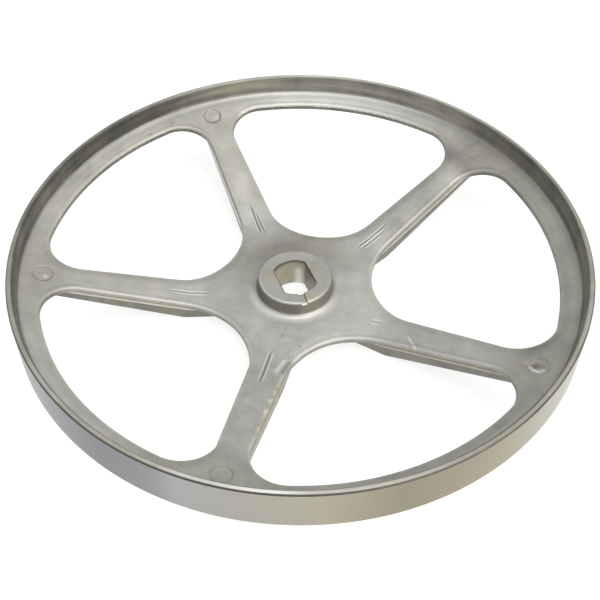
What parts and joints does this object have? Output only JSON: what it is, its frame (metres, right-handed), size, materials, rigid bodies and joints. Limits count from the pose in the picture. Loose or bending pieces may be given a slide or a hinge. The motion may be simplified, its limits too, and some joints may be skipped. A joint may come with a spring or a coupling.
{
  "type": "flat-face drum pulley",
  "caption": "Large one-piece cast aluminium belt pulley with a smooth rim, a dished spoked web and a raised hub with a two-flat shaft hole.",
  "frame": {"origin": "centre of the hub's flat back face, which is the lowest face, on the shaft axis", "axes": "+Z along the shaft axis, out of the raised boss; -X along the third spoke"},
  "size_m": [0.28, 0.28, 0.0425],
  "materials": {
    "cast_body": "as-cast, satin, slightly warm grey with faint flow marks",
    "machined_rim": "fine turned belt face, satin"
  },
  "bodies": {
    "root": {"belt_rim": "machined_rim", "rim_web": "cast_body", "spoke_1": "cast_body", "spoke_2": "cast_body", "spoke_3": "cast_body", "spoke_4": "cast_body", "spoke_5": "cast_body", "hub_plate": "cast_body", "hub_boss": "cast_body"}
  },
  "joints": []
}
